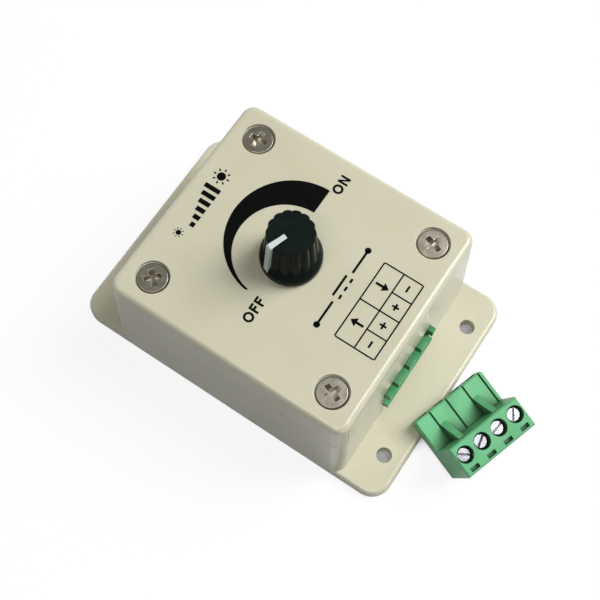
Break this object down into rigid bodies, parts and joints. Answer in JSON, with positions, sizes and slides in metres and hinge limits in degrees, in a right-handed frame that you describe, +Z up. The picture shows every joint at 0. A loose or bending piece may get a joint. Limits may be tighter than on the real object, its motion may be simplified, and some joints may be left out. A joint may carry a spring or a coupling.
{
  "type": "led dimmer",
  "caption": "Wall-mounted rotary dimmer box for lighting strips, with drilled end flanges, fluted knob, screwed lid, end-wall socket and its pluggable screw-terminal block lying beside it.",
  "frame": {"origin": "middle of the base's flat underside", "axes": "+Z up through the lid along the knob's shaft, +Y along the box towards the blank end wall (the socket is in the -Y wall), +X to the right"},
  "size_m": [0.058, 0.1063, 0.0465],
  "materials": {
    "ivory_abs": "moulded, semi-gloss",
    "nickel_screws": "nickel plate",
    "board_laminate": "solder mask on glass laminate",
    "socket_green": "moulded polyamide",
    "plug_green": "moulded polyamide",
    "tinned_pins": "tin plate",
    "phenolic": "punched phenolic paper",
    "pressed_steel": "zinc plate",
    "shaft_metal": "turned",
    "contact_brass": "stamped",
    "knob_black": "moulded, satin",
    "pointer_white": "moulded inlay",
    "component_black": "moulded epoxy",
    "resistor_tan": "lacquer",
    "disc_ochre": "lacquer",
    "clamp_screw_steel": "bright zinc plate",
    "clamp_cage_steel": "nickel plate"
  },
  "bodies": {
    "case": {"base_case": "ivory_abs", "lid": "ivory_abs", "lid_screws": "nickel_screws", "circuit_board": "board_laminate", "board_screws": "nickel_screws", "header_housing": "socket_green", "header_pins": "tinned_pins", "pot_wafer": "phenolic", "pot_terminals": "tinned_pins", "pot_can": "pressed_steel", "timer_chip": "component_black", "timer_chip_legs": "tinned_pins", "transistor_body": "component_black", "transistor_tab": "tinned_pins", "filter_capacitor": "component_black", "flyback_diode": "component_black", "resistors": "resistor_tan", "ceramic_capacitors": "disc_ochre", "plug_housing": "plug_green", "plug_contacts": "tinned_pins"},
    "knob": {"knob": "knob_black", "knob_pointer": "pointer_white", "pot_shaft": "shaft_metal", "pot_wiper": "contact_brass"},
    "terminal_screw_1": {"terminal_screw_1": "clamp_screw_steel"},
    "wire_clamp_1": {"wire_clamp_1": "clamp_cage_steel"},
    "terminal_screw_2": {"terminal_screw_2": "clamp_screw_steel"},
    "wire_clamp_2": {"wire_clamp_2": "clamp_cage_steel"},
    "terminal_screw_3": {"terminal_screw_3": "clamp_screw_steel"},
    "wire_clamp_3": {"wire_clamp_3": "clamp_cage_steel"},
    "terminal_screw_4": {"terminal_screw_4": "clamp_screw_steel"},
    "wire_clamp_4": {"wire_clamp_4": "clamp_cage_steel"}
  },
  "joints": [
    {"name": "knob_turn", "type": "hinge", "parent": "case", "child": "knob", "pos_m": [0, 0.0007, 0.0325], "axis": [0, 0, 1], "range_deg": [-220, 80]},
    {"name": "screw_1_turn", "type": "hinge", "parent": "case", "child": "terminal_screw_1", "pos_m": [-0.01105, -0.05297, 0.01086], "axis": [-0.078, -0.2401, 0.9676], "range_deg": [-1800, 0]},
    {"name": "clamp_1_lift", "type": "slide", "parent": "case", "child": "wire_clamp_1", "axis": [-0.078, -0.2401, 0.9676], "range_m": [0, 0.0025]},
    {"name": "screw_2_turn", "type": "hinge", "parent": "case", "child": "terminal_screw_2", "pos_m": [-0.00629, -0.05451, 0.01086], "axis": [-0.078, -0.2401, 0.9676], "range_deg": [-1800, 0]},
    {"name": "clamp_2_lift", "type": "slide", "parent": "case", "child": "wire_clamp_2", "axis": [-0.078, -0.2401, 0.9676], "range_m": [0, 0.0025]},
    {"name": "screw_3_turn", "type": "hinge", "parent": "case", "child": "terminal_screw_3", "pos_m": [-0.00154, -0.05606, 0.01086], "axis": [-0.078, -0.2401, 0.9676], "range_deg": [-1800, 0]},
    {"name": "clamp_3_lift", "type": "slide", "parent": "case", "child": "wire_clamp_3", "axis": [-0.078, -0.2401, 0.9676], "range_m": [0, 0.0025]},
    {"name": "screw_4_turn", "type": "hinge", "parent": "case", "child": "terminal_screw_4", "pos_m": [0.00322, -0.0576, 0.01086], "axis": [-0.078, -0.2401, 0.9676], "range_deg": [-1800, 0]},
    {"name": "clamp_4_lift", "type": "slide", "parent": "case", "child": "wire_clamp_4", "axis": [-0.078, -0.2401, 0.9676], "range_m": [0, 0.0025]}
  ],
  "couplings": [
    {"joint": "screw_1_turn", "follows": "clamp_1_lift", "rad_per_m": -12566},
    {"joint": "screw_2_turn", "follows": "clamp_2_lift", "rad_per_m": -12566},
    {"joint": "screw_3_turn", "follows": "clamp_3_lift", "rad_per_m": -12566},
    {"joint": "screw_4_turn", "follows": "clamp_4_lift", "rad_per_m": -12566}
  ]
}
